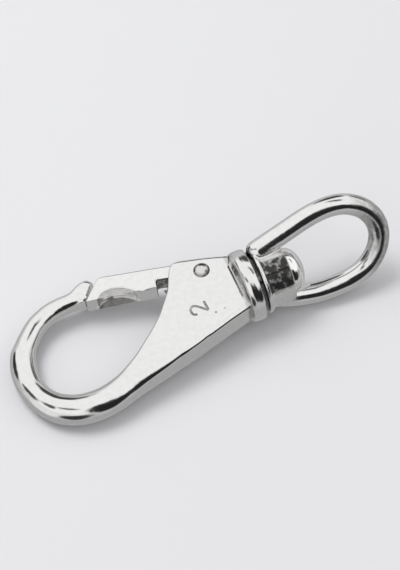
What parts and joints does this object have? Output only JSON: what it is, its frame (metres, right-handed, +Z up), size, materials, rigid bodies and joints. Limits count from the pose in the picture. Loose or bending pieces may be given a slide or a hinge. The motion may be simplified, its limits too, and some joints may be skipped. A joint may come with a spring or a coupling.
{
  "type": "swivel eye snap hook",
  "caption": "Cast snap hook with a sprung gate closing its bow and a round eye that turns on a domed swivel rivet.",
  "frame": {"origin": "on the table, under the middle of the hook as it lies", "axes": "+X along the hook toward the eye, +Y across it toward the gate side, +Z up; the hook rests on its collar and the round of its bow, so the swivel axis slopes up 5.6 degrees toward the eye and the body rolls 1.3 degrees toward its spine"},
  "size_m": [0.091, 0.0338, 0.0225],
  "materials": {
    "body_steel": "cast stainless, mirror polished on its cheeks and bow",
    "gate_steel": "stainless, polished",
    "pin_steel": "stainless, polished low round heads",
    "spring_steel": "drawn spring wire",
    "rivet_steel": "stainless, mirror polished domed head",
    "eye_steel": "cast stainless, polished ring and a rougher as-cast boss"
  },
  "bodies": {
    "root": {"hook_body": "body_steel", "gate_pin": "pin_steel", "gate_spring": "spring_steel", "swivel_rivet": "rivet_steel"},
    "gate": {"gate": "gate_steel"},
    "eye": {"swivel_eye": "eye_steel"}
  },
  "joints": [
    {"name": "gate_pivot", "type": "hinge", "parent": "root", "child": "gate", "pos_m": [0.00238, 0.00717, 0.00761], "axis": [-0.0976, -0.0227, 0.995], "range_deg": [0, 28], "stiffness_Nm_per_rad": 0.15, "springref_deg": -20.05, "deforming": ["gate_spring"]},
    {"name": "eye_swivel", "type": "hinge", "parent": "root", "child": "eye", "pos_m": [0.01483, 0.00107, 0.0087], "axis": [0.9952, 0, 0.0976], "continuous": true}
  ]
}
